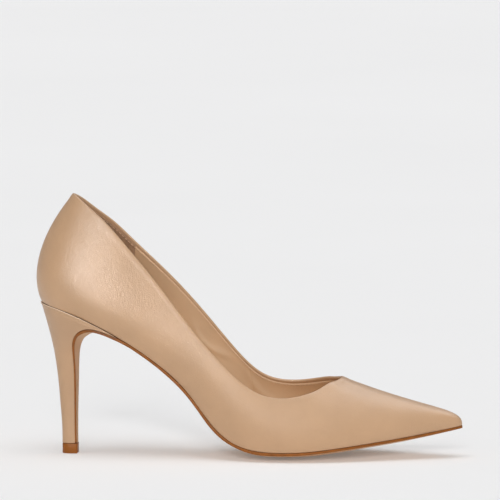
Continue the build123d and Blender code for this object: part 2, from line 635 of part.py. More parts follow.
# ---------------------------------------------------------------- the whole shoe
def make_nodes():
    nodes = {}
    nodes["upper"] = make_upper()
    outer_grip, inner_grip = place_of_x(GRIP_END, -1), place_of_x(GRIP_END, 1)
    outer_vamp, inner_vamp = place_of_x(VAMP_SEAM, -1), place_of_x(VAMP_SEAM, 1)
    gap = PIECE_GAP
    nodes["heel_grip"] = make_lining(inner_grip - 1.0 + gap, outer_grip - gap, fixed_depth(GRIP_DEPTH))
    nodes["quarter_lining_lateral"] = make_lining(outer_grip + gap, outer_vamp - gap,
                                                  fixed_depth(LINING_DEPTH))
    nodes["quarter_lining_medial"] = make_lining(inner_vamp + gap, inner_grip - gap,
                                                 fixed_depth(LINING_DEPTH))
    nodes["vamp_lining"] = make_lining(outer_vamp + gap, inner_vamp - gap, toe_depth)
    nodes["heel_counter"] = make_counter()
    nodes["toe_puff"] = make_puff()
    nodes["topline_tape"] = make_tape()

    holes = heel_fasteners(GLUE) + rivets(GLUE)
    insole = bottom_layer(INSOLE_LIFT, INSOLE_THICK, BOARD_INSET)
    nodes["insole_board"] = cut_all(insole, holes)
    board = bottom_layer(SHANK_BOARD_LIFT, SHANK_BOARD_THICK, BOARD_INSET, end=SHANK_BOARD_END)
    nodes["shank_board"] = cut_all(board, holes)
    shank = bottom_layer(SHANK_LIFT, SHANK_THICK, BOARD_INSET, *SHANK_SPAN, half_width=SHANK_WIDTH / 2.0)
    nodes["steel_shank"] = cut_all(shank, rivets(GLUE))
    nodes["shank_rivets"] = Compound(children=rivets())
    nodes["bottom_filler"] = bottom_layer(GLUE, UPPER_THICK, BOARD_INSET, *FILLER_SPAN,
                                          half_width=filler_half)
    nodes["forepart_pad"] = bottom_layer(FRONT_PAD_LIFT, PAD_THICK, PAD_INSET, *FRONT_PAD_SPAN)
    nodes["heel_pad"] = bottom_layer(HEEL_PAD_LIFT, PAD_THICK, PAD_INSET, end=HEEL_PAD_END)
    nodes["insock"] = bottom_layer(sock_lift, SOCK_THICK, SOCK_INSET)

    nodes["outsole"] = make_outsole()
    side_view = heel_side_view()
    inner_body = heel_body(COVER_THICK)
    nodes["heel_cover"] = ((heel_body(0.0) & side_view) - inner_body).solid()
    core = (heel_body(COVER_THICK + GLUE) & side_view).solid()
    bore = bore_rod(TOP_PIECE_HEIGHT - PAST, BORE_HIGH[1] + GLUE, TUBE_RADIUS + GLUE)
    nodes["heel_core"] = cut_all(core, [bore] + heel_fasteners(GLUE))
    tube = bore_rod(TOP_PIECE_HEIGHT + 2 * GLUE, BORE_HIGH[1], TUBE_RADIUS)
    tube_bore = bore_rod(TOP_PIECE_HEIGHT - PAST, BORE_HIGH[1] + PAST, TUBE_BORE_RADIUS)
    nodes["heel_tube"] = cut_all(tube, [tube_bore])
    nodes["top_piece"] = make_top_piece()
    nodes["top_piece_pin"] = bore_rod(*PIN_SPAN, PIN_RADIUS)
    screw, *nails = heel_fasteners()
    nodes["heel_screw"] = screw
    nodes["heel_nails"] = Compound(children=nails)
    return nodes


def export_nodes(nodes):
    """Moves the shoe so that the origin is under the middle of its box, and writes one file per node."""
    os.makedirs("parts", exist_ok=True)
    boxes = [shape.bounding_box() for shape in nodes.values()]
    low = [min(getattr(b.min, axis) for b in boxes) for axis in "XYZ"]
    high = [max(getattr(b.max, axis) for b in boxes) for axis in "XYZ"]
    shift = Location((-(low[0] + high[0]) / 2.0, -(low[1] + high[1]) / 2.0, -low[2]))
    print("size", [round(h - l, 2) for l, h in zip(low, high)], "shift", shift.position)
    for name, shape in nodes.items():
        export_step(shape.moved(shift), f"parts/{name}.step")


export_nodes(make_nodes())
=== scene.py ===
"""High heel pump: the looks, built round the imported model."""
import json
import math
import bmesh
import bpy
import numpy as np
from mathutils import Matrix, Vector


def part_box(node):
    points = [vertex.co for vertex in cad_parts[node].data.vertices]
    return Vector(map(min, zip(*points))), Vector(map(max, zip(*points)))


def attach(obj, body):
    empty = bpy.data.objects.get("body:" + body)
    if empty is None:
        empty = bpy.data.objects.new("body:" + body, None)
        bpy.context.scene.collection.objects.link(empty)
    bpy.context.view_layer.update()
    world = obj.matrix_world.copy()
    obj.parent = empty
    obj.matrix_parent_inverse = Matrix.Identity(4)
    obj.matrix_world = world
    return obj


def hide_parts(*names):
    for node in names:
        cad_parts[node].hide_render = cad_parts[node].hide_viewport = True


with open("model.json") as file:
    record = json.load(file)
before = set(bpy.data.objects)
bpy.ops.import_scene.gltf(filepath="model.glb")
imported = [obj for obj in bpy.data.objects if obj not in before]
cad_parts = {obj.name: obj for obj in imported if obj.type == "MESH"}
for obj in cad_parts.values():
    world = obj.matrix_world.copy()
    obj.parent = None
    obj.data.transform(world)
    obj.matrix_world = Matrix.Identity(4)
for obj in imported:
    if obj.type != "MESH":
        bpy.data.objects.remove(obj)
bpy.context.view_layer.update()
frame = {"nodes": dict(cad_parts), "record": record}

# ---------------- the shoe's form, in millimetres
# x = 0 is the shoe's rearmost point, z = 0 the ground, +X to the toe, +Y to the inner side.
# SHIFT, below, moves these into the frame's own place.

# Feather line: where the upper meets the heel and the sole, seen from the side (x, z).
SOLE_LINE = [
    (2.6, 87.8), (12.8, 85.8), (22.3, 82.8), (31.2, 79.2), (39.9, 75.1), (57, 65.3), (74, 53.1),
    (90.7, 37.6), (99.2, 27), (105.2, 19.6), (111.7, 13.9), (121.6, 8.8), (130.9, 6.3), (139.8, 5.7),
    (148.5, 5.6), (168.6, 7), (190.7, 9.8), (212.6, 12.8), (234.4, 16.5), (246, 18.7)]
CROWN_X = [45, 75, 108, 130, 165, 205, 246]  # how the bottom bellies down, along the shoe
CROWN = [0, 0.5, 1.75, 3.15, 3.5, 2.2, 0.2]

# Heel breast: x, z, half width, thickness of the sole at its edge, extra thickness in the middle.
BREAST_LINE = [
    (48.6, 69.6, 25.9, 1.75, 0.5), (39.1, 73.1, 25.0, 1.7, 1.2), (32.1, 74.0, 24.1, 1.7, 2.3),
    (26.7, 72.1, 22.2, 1.7, 3.0), (23.3, 68.3, 18.5, 1.6, 2.6), (22.0, 63.3, 14.9, 1.4, 1.8),
    (21.9, 58.5, 12.0, 1.2, 1.0), (22.0, 52.3, 9.3, 1.1, 0.5), (22.1, 42.1, 7.1, 1.1, 0.3),
    (22.0, 28.6, 5.4, 1.1, 0.2), (22.0, 15.2, 4.5, 1.1, 0.1), (22.1, 5.85, 4.2, 1.1, 0.1)]

# Ribs of the upper: feather (x, y), two handles (x, y, z), topline (x, y, z).
RIBS = [
    ((2.6, 0), (-5.5, 0, 104), (2.1, 0, 128), (20.9, 0, 150.7)),
    ((6.8, -14), (0, -18, 101.5), (8.1, -12.5, 125), (24.8, -8.7, 148.8)),
    ((17, -22.8), (13.5, -28, 101), (17.5, -23.5, 113), (33.1, -14.7, 142.7)),
    ((32, -26.4), (31, -33, 90), (33, -29.5, 103), (42, -18.5, 135.5)),
    ((50, -26.3), (50.8, -33, 82), (51.3, -30.5, 95), (54, -21, 122.8)),
    ((70, -24), (71, -31.5, 68), (71.5, -29.5, 81), (72, -23.5, 101.8)),
    ((90, -25), (90.5, -31.5, 50.5), (90.5, -30, 68), (90, -26.2, 79)),
    ((108, -30.5), (108.5, -35.8, 33), (108, -34, 48), (107, -29.7, 59.6)),
    ((126, -36.2), (127, -41, 19.5), (125.5, -38.5, 33.5), (123, -32.8, 45)),
    ((145, -38.5), (146.5, -43, 15.5), (141, -39.8, 28), (137, -33.4, 38)),
    ((163, -37), (165, -41.2, 15.8), (155, -38.5, 28), (149, -31.5, 37.1)),
    ((182, -31.5), (184.5, -35.5, 17.5), (169.5, -34.5, 28.8), (158.3, -27.2, 38.7)),
    ((202, -22.3), (205, -26.3, 20), (184.5, -28.8, 29.4), (165.5, -20.5, 41.3)),
    ((222, -12.6), (225.3, -16, 23.5), (200.5, -21, 29.1), (171.1, -13, 44.4)),
    ((236, -5.4), (239.7, -8, 26.9), (214, -12.5, 28.6), (174.6, -6.3, 45.3)),
    ((243.6, -1), (246.1, -2, 28.7), (223, -4.2, 27.9), (176.1, -2, 46)),
    ((246, 2.8), (246.7, 2.8, 29.3), (227.5, 2.6, 27.1), (176.4, 1.8, 46)),
    ((244.6, 6.6), (246.7, 7.8, 28.7), (224, 9, 27.4), (176.2, 5.4, 46)),
    ((238, 11), (241.2, 13.6, 26.9), (216, 16.5, 27.2), (174.8, 9.4, 45.8)),
    ((225, 17.5), (228, 21, 23.8), (203, 24.5, 26.4), (171.6, 15, 45)),
    ((207, 26), (210, 30, 20.5), (188.5, 32, 26.3), (166.7, 21.7, 44.3)),
    ((187, 33.7), (189, 38, 18.5), (174, 37.5, 27.7), (159.8, 27.6, 42.9)),
    ((167, 37.4), (168.5, 42, 16.5), (159.5, 40.5, 29.2), (150, 31, 41.3)),
    ((149, 36.8), (150.5, 41.5, 16), (145, 39.5, 31), (138.5, 32.1, 41.2)),
    ((130, 32), (131, 37, 18.5), (128, 36, 35), (125.5, 30.5, 45.8)),
    ((110, 24.5), (110.5, 30.3, 32), (109.5, 30.8, 49.7), (108, 26.5, 63.6)),
    ((90, 20), (90.5, 27.5, 50.5), (90.5, 28, 71.5), (90, 23.8, 85.4)),
    ((70, 20), (71, 28.8, 68), (71.5, 27.3, 82), (72, 21.9, 104.6)),
    ((50, 24), (50.8, 31.8, 82), (51.3, 29, 95), (54, 19.9, 121.9)),
    ((32, 26.2), (31, 32.8, 90), (33, 29, 102), (42, 17.7, 133.4)),
    ((17, 22.7), (13.5, 28, 101), (17.5, 23.2, 112), (33.1, 14.1, 140.5)),
    ((6.8, 14), (0, 18, 101.5), (8.1, 12.3, 124.5), (24.8, 8.5, 147.5))]

# Heel sections from the foot up: rear x, rear z, front x, front z, widest x, half width.
HEEL_SECTIONS = [
    (14.4, 5.0, 26.0, 5.0, 18.8, 4.3), (14.2, 16, 26.0, 15.5, 18.7, 4.6), (13.3, 28, 26.0, 27, 18.7, 5.4),
    (12.1, 42, 27.0, 40, 19, 6.8), (10.4, 55, 30.0, 51, 20, 9.4), (8.7, 64, 36.0, 57, 21.5, 12.9),
    (6.9, 71.5, 42.0, 62, 24, 17.6), (4.7, 79.5, 52.0, 65, 28, 22.8), (2.5, 87.4, 52.0, 68.5, 32, 26.5)]
HEEL_FRONT = 49.0  # x where the heel cover ends in a point, under the waist
BEND_HEIGHT = 65.0  # z where the breast starts to bend forwards into the wing
TOP_PIECE = (14.4, 23.3, 18.8, 4.5, 5.75)  # rear, front, widest x, half width, height

UPPER_THICK = 1.2
RIM_RADIUS = 0.85  # half of the folded edge's thickness
FOLD_DEPTH = 4.0  # how far down the folded topline keeps its double thickness
FOLD_FADE = 3.0  # and over which height it then thins out
TUCK_RADIUS = 0.3  # how roundly the upper turns under at the feather line
UPPER_LOW = 3.0  # height where the upper's inner face turns in to the margin
MARGIN_ROWS = (7.0, 4.5, 2.5, 1.0)  # how far in from the feather line the margin's rows lie
SPINE = (14.0, 225.0)  # x range of the line down the middle that the margin runs in to
TAPE_WIDTH = 4.0  # the upper stands out a little over the topline tape,
TAPE_STEP = 0.2  # by this much
SEAM_DEPTH = 0.32  # groove of the back seam
SEAM_WIDTH = 0.35
LINING_THICK = 0.8
LINING_DROP = 2.2  # the lining's cut edge below the topline
LINING_LOW = 2.2  # its lower edge above the feather line
LINING_STEP = 2.2 / 560.0  # share of the way round between two rows of a lining
LINING_DEPTH = 1.6  # outside of the lining below the outside of the upper
CREASE_HEIGHT = 0.75  # of the soft creases in the lining
CREASE_WAVES = (0.30, 0.05, 0.34)  # radians per mm along x, y and z: how they slant
GRIP_DEPTH = 2.3  # the same as LINING_DEPTH for the heel grip, over the counter
GRIP_END = 51.0  # x of the seam between grip and side lining
VAMP_SEAM = 122.0  # x of the seam between side lining and vamp lining
SOCK_THICK = 0.9
SOCK_MARGIN = 0.15  # how far the sock's edge stays off the linings,
SOCK_REAR, SOCK_FRONT = 0.35, 0.85  # and its ends off theirs
SOCK_HEIGHTS = [(10, 6.9), (60, 6.9), (74, 5.6), (104, 5.6), (113, 5.75), (216, 5.75), (230, 4.5)]
SOLE_BITE = 0.12  # how far the sole bites into the lasted margin
SOLE_INSET = 0.1  # the sole's edge inside the feather line
SOLE_THICKNESS = [(70, 1.75), (125, 1.9), (170, 1.6), (246, 1.5)]
SOLE_JOIN = 60.0  # x behind which the sole's cuts follow the breast line
WAIST = 57.0  # x of the point of the feather line where the breast line starts
SOLE_ACROSS, SOLE_ROUND = 17, 7  # points across the sole, and round each of its edges
COVER_THICK = 0.8
COVER_SETBACK = 0.28  # how far the cover keeps behind the breast line
RIM_FLARE = 0.45  # how far the cover's rim stands out under the seat
RIM_FLARE_HEIGHT = 1.5

MM = 0.001
TOP_LOW, TOP_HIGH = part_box("top_piece")
SHIFT = np.array([TOP_LOW[0] / MM - TOP_PIECE[0], (TOP_LOW[1] + TOP_HIGH[1]) / 2.0 / MM, 0.0])


# ---------------- curves
def spline_slopes(knots, values, closed):
    """Slopes of the curvature-continuous cubic through the values, closed on itself or free at its ends."""
    steps = np.diff(knots)
    rises = np.diff(values, axis=0) / steps[:, None]
    count = len(steps) if closed else len(knots)
    matrix = np.zeros((count, count))
    right = np.zeros((count, values.shape[1]))
    for i in range(count):
        if not closed and i in (0, count - 1):
            matrix[i, i] = 2.0
            matrix[i, 1 if i == 0 else i - 1] = 1.0
            right[i] = 3.0 * rises[0 if i == 0 else -1]
            continue
        before = steps[i - 1]
        after = steps[i % len(steps)]
        matrix[i, (i - 1) % count] += after
        matrix[i, i] += 2.0 * (before + after)
        matrix[i, (i + 1) % count] += before
        right[i] = 3.0 * (after * rises[i - 1] + before * rises[i % len(steps)])
    slopes = np.linalg.solve(matrix, right)
    return np.vstack([slopes, slopes[:1]]) if closed else slopes


def spline_at(knots, values, slopes, where):
    """Points of that cubic at the places in where."""
    where = np.atleast_1d(where)
    span = np.clip(np.searchsorted(knots, where, side="right") - 1, 0, len(knots) - 2)
    width = (knots[span + 1] - knots[span])[:, None]
    t = (where - knots[span])[:, None] / width
    start, end = values[span], values[span + 1]
    out, into = slopes[span] * width, slopes[span + 1] * width
    blend = (2 * t**3 - 3 * t**2 + 1) * start + (3 * t**2 - 2 * t**3) * end
    return blend + (t**3 - 2 * t**2 + t) * out + (t**3 - t**2) * into


def run_lengths(line):
    """Distance along a line of points, from its first point to each."""
    return np.concatenate([[0.0], np.cumsum(np.linalg.norm(np.diff(line, axis=0), axis=1))])


def smooth_line(points, count=800):
    """Many points along a smooth open line through a few."""
    values = np.array(points, float)
    knots = run_lengths(values)
    slopes = spline_slopes(knots, values, False)
    return spline_at(knots, values, slopes, np.linspace(0.0, knots[-1], count))


def smooth_step(x):
    """0 up to x = 0, 1 from x = 1, and a soft rise between."""
    x = np.clip(x, 0.0, 1.0)
    return x * x * (3.0 - 2.0 * x)


SOLE = smooth_line(SOLE_LINE)


def sole_z(x):
    """Height of the feather line at x."""
    return np.interp(x, SOLE[:, 0], SOLE[:, 1])


# ---------------- the wall of the upper
def rib_rings():
    """Closed splines through the four rings of rib points, with one shared parameter u from 0 to 1."""
    rows = [[(f[0], f[1], float(sole_z(f[0]))), low, high, top] for f, low, high, top in RIBS]
    rings = np.array(rows + rows[:1], float)
    feather_steps = np.linalg.norm(np.diff(rings[:, 0], axis=0), axis=1)
    topline_steps = np.linalg.norm(np.diff(rings[:, 3], axis=0), axis=1)
    knots = np.concatenate([[0.0], np.cumsum(feather_steps + topline_steps)])
    flat = rings.reshape(len(rings), 12)
    return knots / knots[-1], flat, spline_slopes(knots / knots[-1], flat, True)


KNOTS, RING_POINTS, RING_SLOPES = rib_rings()


def wall(u, v):
    """Points of the upper's outside: u (n) goes round the shoe, v (n x m) up from the feather line."""
    ribs = spline_at(KNOTS, RING_POINTS, RING_SLOPES, np.mod(u, 1.0)).reshape(-1, 1, 4, 3)
    v = v[:, :, None]
    low = (1 - v)**3 * ribs[:, :, 0] + 3 * v * (1 - v)**2 * ribs[:, :, 1]
    return low + 3 * v**2 * (1 - v) * ribs[:, :, 2] + v**3 * ribs[:, :, 3]


def wall_normal(u, v):
    """Outward unit normals of the wall at the same places."""
    small = 1e-4
    along = wall(u + small, v) - wall(u - small, v)
    up = wall(u, v + small) - wall(u, v - small)
    normal = np.cross(along, up)
    return normal / np.linalg.norm(normal, axis=2, keepdims=True)


def heights(u):
    """Rib lengths in mm at each u, and a function that turns heights in mm (n x m) into v."""
    shares = np.tile(np.linspace(0.0, 1.0, 161), (len(u), 1))
    ribs = wall(u, shares)
    run = np.concatenate([np.zeros((len(u), 1)),
                          np.cumsum(np.linalg.norm(np.diff(ribs, axis=1), axis=2), axis=1)], axis=1)

    def share(height):
        return np.array([np.interp(row, line, shares[0]) for row, line in zip(height, run)])

    return run[:, -1], share


def place_of_x(x, side):
    """The u whose feather point lies at x, on side -1 (outer) or +1 (inner)."""
    shares = np.linspace(0.0, 1.0, 2001)
    feather = wall(shares, np.zeros((len(shares), 1)))[:, 0]
    toe = int(np.argmax(feather[:, 0]))
    part = slice(0, toe) if side < 0 else slice(toe, None)
    order = np.argsort(feather[part, 0])
    return float(np.interp(x, feather[part, 0][order], shares[part][order]))


FEATHER = wall(np.linspace(0.0, 1.0, 1201), np.zeros((1201, 1)))[:, 0]
TOE = int(np.argmax(FEATHER[:, 0]))
PERIMETER = run_lengths(FEATHER)[-1]


def edge_y(x, side):
    """The feather line's y at x, on side -1 (outer) or +1 (inner)."""
    part = FEATHER[:TOE] if side < 0 else FEATHER[TOE:][::-1]
    return np.interp(x, part[:, 0], part[:, 1])


def bottom_z(x, y):
    """Underside of the lasted upper: the feather line's height, bellied down between the two edges."""
    outer, inner = edge_y(x, -1), edge_y(x, 1)
    middle, half = (outer + inner) / 2.0, np.maximum((inner - outer) / 2.0, 1.0)
    return sole_z(x) - np.interp(x, CROWN_X, CROWN) * (1.0 - ((y - middle) / half)**2)


def slope_stretch(x):
    """Vertical distance for each mm square to the sloping sole at x."""
    rise = (sole_z(x + 1.0) - sole_z(x - 1.0)) / 2.0
    return np.sqrt(1.0 + rise**2)


# ---------------- meshes
def add_mesh(name, points, faces, materials, slots=None):
    """A smooth-shaded mesh object from points in mm and faces; slots gives each face's material."""
    mesh = bpy.data.meshes.new(name)
    mesh.from_pydata(((np.asarray(points) + SHIFT) * MM).tolist(), [], [tuple(f) for f in faces])
    for material in materials:
        mesh.materials.append(material)
    if slots is not None:
        mesh.polygons.foreach_set("material_index", np.asarray(slots, dtype=np.int32))
    mesh.polygons.foreach_set("use_smooth", [True] * len(mesh.polygons))
    shape = bmesh.new()
    shape.from_mesh(mesh)
    bmesh.ops.recalc_face_normals(shape, faces=shape.faces)
    shape.to_mesh(mesh)
    shape.free()
    mesh.update()
    piece = bpy.data.objects.new(name, mesh)
    bpy.context.collection.objects.link(piece)
    return piece


def grid_faces(rows, columns, closed_rows=False, closed_columns=False, start=0):
    """Quads of a grid of points numbered row by row."""
    i, j = np.meshgrid(np.arange(rows if closed_rows else rows - 1),
                       np.arange(columns if closed_columns else columns - 1), indexing="ij")
    i, j = i.ravel(), j.ravel()
    after_i, after_j = (i + 1) % rows, (j + 1) % columns
    return start + np.column_stack([i * columns + j, after_i * columns + j,
                                    after_i * columns + after_j, i * columns + after_j])


def unit(vectors):
    """The same directions, with length 1."""
    return vectors / np.maximum(np.linalg.norm(vectors, axis=-1, keepdims=True), 1e-12)


def grid_normals(grid):
    """Normals of a grid of points, from its own rows and columns."""
    along = np.gradient(grid, axis=0)
    up = np.gradient(grid, axis=1)
    return unit(np.cross(along, up))


def border(rows, columns):
    """The grid's outline as (row, column) pairs, once round."""
    loop = [(i, 0) for i in range(rows)] + [(rows - 1, j) for j in range(1, columns)]
    loop += [(i, columns - 1) for i in range(rows - 2, -1, -1)]
    return loop + [(0, j) for j in range(columns - 2, 0, -1)]


def sheet_piece(name, grid, thick, materials, normals=None, rounding=5, edge_slot=0):
    """A closed sheet: grid is its outer face, thick its thickness, and all its edges are rounded.

    edge_slot is the material of the rounded edge beyond the grid's last row."""
    normals = grid_normals(grid) if normals is None else normals
    rows, columns = grid.shape[:2]
    inner = grid - normals * thick
    loop = border(rows, columns)
    i, j = np.array(loop).T
    row_out = unit(np.gradient(grid, axis=0))
    column_out = unit(np.gradient(grid, axis=1))
    outward = (row_out[i, j] * ((i == rows - 1) * 1.0 - (i == 0) * 1.0)[:, None]
               + column_out[i, j] * ((j == columns - 1) * 1.0 - (j == 0) * 1.0)[:, None])
    outward = unit(outward)
    radius = thick / 2.0
    edge, down = grid[i, j], normals[i, j]
    turns = np.linspace(0.0, math.pi, rounding + 2)[1:-1]
    rings = [edge + outward * radius * math.sin(t) - down * radius * (1.0 - math.cos(t)) for t in turns]
    points = np.concatenate([grid.reshape(-1, 3), inner.reshape(-1, 3), *rings])
    outer_faces = grid_faces(rows, columns)
    inner_faces = grid_faces(rows, columns, start=rows * columns)[:, ::-1]
    count = len(loop)
    outer_loop = i * columns + j
    levels = [outer_loop] + [2 * rows * columns + k * count + np.arange(count) for k in range(len(turns))]
    levels.append(outer_loop + rows * columns)
    strips = []
    for above, below in zip(levels[:-1], levels[1:]):
        strips.append(np.column_stack([above, below, np.roll(below, -1), np.roll(above, -1)]))
    faces = np.vstack([outer_faces, inner_faces, *strips])
    slots = np.zeros(len(faces), int)
    last_edge = (i == rows - 1) & (np.roll(i, -1) == rows - 1)
    slots[len(outer_faces) + len(inner_faces):] = np.tile(last_edge, len(levels) - 1) * edge_slot
    return add_mesh(name, points, faces, materials, slots)


# ---------------- materials
NOISE_LOW, NOISE_HIGH = 0.3, 0.7  # the range that nearly all of a noise stays in


class Look:
    """A material under way: patterns placed on the piece, in metres, feed the inputs of its surface."""

    def __init__(self, name):
        self.material = bpy.data.materials.new(name)
        self.material.use_nodes = True
        self.nodes, self.links = self.material.node_tree.nodes, self.material.node_tree.links
        self.surface = self.nodes["Principled BSDF"]
        self.place = self.nodes.new("ShaderNodeTexCoord").outputs["Object"]

    def node(self, kind, settings, feeds):
        """A node with some inputs set, and others fed by earlier outputs."""
        node = self.nodes.new(kind)
        for name, value in settings.items():
            node.inputs[name].default_value = value
        for name, output in feeds.items():
            self.links.new(output, node.inputs[name])
        return node

    def noise(self, scale, detail=3.0, roughness=0.5, place=None):
        """Soft noise; scale is in waves per metre."""
        place = self.place if place is None else place
        settings = {"Scale": scale, "Detail": detail, "Roughness": roughness}
        return self.node("ShaderNodeTexNoise", settings, {"Vector": place}).outputs["Fac"]

    def cells(self, scale):
        """Distance from the borders of small rounded cells."""
        node = self.node("ShaderNodeTexVoronoi", {"Scale": scale}, {"Vector": self.place})
        node.feature = "DISTANCE_TO_EDGE"
        return node.outputs["Distance"]

    def bump(self, pattern, strength, distance, before=None):
        """Normals raised by a pattern, on top of an earlier bump if there is one."""
        feeds = {"Height": pattern} if before is None else {"Height": pattern, "Normal": before}
        settings = {"Strength": strength, "Distance": distance}
        return self.node("ShaderNodeBump", settings, feeds).outputs["Normal"]

    def feed(self, name, output):
        """Joins a pattern to an input of the surface."""
        self.links.new(output, self.surface.inputs[name])

    def tint(self, pattern, low, high):
        """Feeds a base colour that runs from low to high with a pattern."""
        node = self.node("ShaderNodeValToRGB", {}, {"Fac": pattern})
        ends = node.color_ramp.elements
        ends[0].position, ends[1].position = NOISE_LOW, NOISE_HIGH
        ends[0].color, ends[1].color = (*low, 1.0), (*high, 1.0)
        self.feed("Base Color", node.outputs["Color"])

    def roughen(self, pattern, low, high):
        """Feeds a roughness that runs from low to high with a pattern."""
        settings = {"From Min": NOISE_LOW, "From Max": NOISE_HIGH, "To Min": low, "To Max": high}
        node = self.node("ShaderNodeMapRange", settings, {"Value": pattern})
        self.feed("Roughness", node.outputs["Result"])

    def finished(self, settings):
        """The material, with the last inputs of its surface set."""
        for name, value in settings.items():
            self.surface.inputs[name].default_value = value
        return self.material


def shade(colour, factor):
    """A colour made darker or lighter."""
    return tuple(min(1.0, c * factor) for c in colour)


def leather(name, colour, roughness, grain=0.15, gloss=0.5, coat=0.0):
    """Finished leather: fine pebbled grain, pores, slanting creases and a slow drift of colour."""
    look = Look(name)
    look.tint(look.noise(38.0, 4.0, 0.55), shade(colour, 0.95), shade(colour, 1.05))
    pebbles = look.cells(1500.0)
    pores = look.noise(4200.0, 2.0, 0.6)
    slant = look.node("ShaderNodeMapping", {"Rotation": (0.0, math.radians(-40.0), 0.0),
                                            "Scale": (1.0, 1.0, 0.3)}, {"Vector": look.place})
    creases = look.noise(900.0, 3.0, 0.6, slant.outputs["Vector"])
    normal = look.bump(pebbles, grain, 0.0005)
    normal = look.bump(pores, grain * 0.8, 0.0002, normal)
    look.feed("Normal", look.bump(creases, grain, 0.00045, normal))
    look.roughen(creases, roughness - 0.05, roughness + 0.06)
    return look.finished({"Specular IOR Level": gloss, "Coat Weight": coat, "Coat Roughness": 0.3})


def suede(name, colour):
    """Napped leather: matt, with soft patches where the nap lies either way."""
    look = Look(name)
    nap, fibre = look.noise(330.0, 6.0, 0.7), look.noise(3400.0, 4.0, 0.7)
    look.tint(nap, shade(colour, 0.72), shade(colour, 1.22))
    look.feed("Normal", look.bump(fibre, 0.55, 0.0003, look.bump(nap, 0.6, 0.0012)))
    look.roughen(fibre, 0.82, 0.98)
    return look.finished({"Sheen Weight": 0.12, "Sheen Roughness": 0.4})


def painted_edge(name, colour):
    """Cut edge, sanded and painted: satin, with faint streaks."""
    look = Look(name)
    streak = look.noise(260.0, 5.0, 0.6)
    look.tint(streak, shade(colour, 0.8), shade(colour, 1.15))
    look.feed("Normal", look.bump(streak, 0.25, 0.0003))
    look.roughen(streak, 0.38, 0.55)
    return look.finished({"Specular IOR Level": 0.2})


def moulded(name, colour, roughness, speckle=0.04):
    """Moulded plastic, rubber or board: fine speckle and a slightly uneven face."""
    look = Look(name)
    fine = look.noise(1500.0, 4.0, 0.6)
    look.tint(fine, shade(colour, 1.0 - speckle), shade(colour, 1.0 + speckle))
    look.feed("Normal", look.bump(fine, 0.2, 0.0002))
    look.roughen(fine, roughness - 0.05, roughness + 0.05)
    return look.finished({"Specular IOR Level": 0.2})


def steel(name):
    """Drawn steel with fine scratches."""
    look = Look(name)
    scratch = look.noise(900.0, 5.0, 0.7)
    look.tint(scratch, (0.42, 0.42, 0.43), (0.62, 0.62, 0.63))
    look.roughen(scratch, 0.25, 0.42)
    return look.finished({"Metallic": 1.0})


def woven(name, colour):
    """Plain-woven tape: two crossed wave patterns raise the threads."""
    look = Look(name)
    normal = None
    for direction in ("X", "Z"):
        wave = look.node("ShaderNodeTexWave", {"Scale": 420.0}, {"Vector": look.place})
        wave.bands_direction = direction
        normal = look.bump(wave.outputs["Fac"], 0.5, 0.0002, normal)
    look.feed("Normal", normal)
    look.tint(look.noise(700.0), shade(colour, 0.9), shade(colour, 1.05))
    return look.finished({"Roughness": 0.9})


UPPER_COLOUR = (0.560, 0.345, 0.196)
HEEL_COLOUR = (0.545, 0.338, 0.195)
LINING_COLOUR = (0.705, 0.475, 0.285)
GRIP_COLOUR = (0.400, 0.235, 0.135)
# Painted highlight: a much lighter leather on the heel cover's rounded rim under the seat, standing for the
# light that rim catches from above.
RIM_HIGHLIGHT_COLOUR = (0.840, 0.640, 0.460)
EDGE_COLOUR = (0.285, 0.095, 0.017)
SOLE_COLOUR = (0.600, 0.370, 0.205)
THREAD_COLOUR = (0.720, 0.480, 0.300)
TIP_COLOUR = (0.300, 0.096, 0.014)

upper_leather = leather("upper_leather", UPPER_COLOUR, 0.35, grain=0.3, gloss=0.45, coat=0.04)
heel_leather = leather("heel_leather", HEEL_COLOUR, 0.42, grain=0.15, gloss=0.4, coat=0.03)
lining_leather = leather("lining_leather", LINING_COLOUR, 0.50, grain=0.10)
sock_leather = leather("sock_leather", LINING_COLOUR, 0.48, grain=0.10)
rim_highlight_leather = leather("rim_highlight_leather", RIM_HIGHLIGHT_COLOUR, 0.5, gloss=0.3)
sole_leather = leather("sole_leather", SOLE_COLOUR, 0.6, gloss=0.15)
grip_suede = suede("grip_suede", GRIP_COLOUR)
edge_paint = painted_edge("edge_paint", EDGE_COLOUR)
thread = suede("thread", THREAD_COLOUR)
tip_polymer = moulded("tip_polymer", TIP_COLOUR, 0.42)


# ---------------- upper
STEPS_PER_RIB = 12


def round_stations():
    """Places round the upper: even steps, closer at the toe, and a few very close at the back seam."""
    steps = np.arange(STEPS_PER_RIB * (len(KNOTS) - 1)) / STEPS_PER_RIB
    even = np.interp(steps, np.arange(len(KNOTS)), KNOTS)
    near = np.array([0.12, 0.25, 0.4, 0.6, 0.9, 1.3]) / PERIMETER
    return np.unique(np.concatenate([even, near, 1.0 - near]))


def along_back(u):
    """Distance in mm from the back seam."""
    return np.minimum(u, 1.0 - u) * PERIMETER


def ripple(points, size, length, seed):
    """A slow, seeded unevenness, as stretched leather has: one value for each point."""
    rng = np.random.default_rng(seed)
    total = np.zeros(points.shape[:-1])
    for _ in range(10):
        direction = unit(rng.normal(size=3))
        wave = length * rng.uniform(0.6, 1.6)
        total += np.sin(points @ direction * 2.0 * math.pi / wave + rng.uniform(0.0, 6.28))
    return total * size / 3.0


def soft_creases(points, seed):
    """Soft creases, from 0 to 1 deep, that run slantwise as loose lining leather does."""
    slow = ripple(points, 1.0, 34.0, seed + 50)
    lines = np.sin(points @ np.array(CREASE_WAVES) + 1.6 * slow)
    return np.clip(lines, 0.0, 1.0)**2 * np.clip(0.5 + 0.5 * slow, 0.0, 1.0)


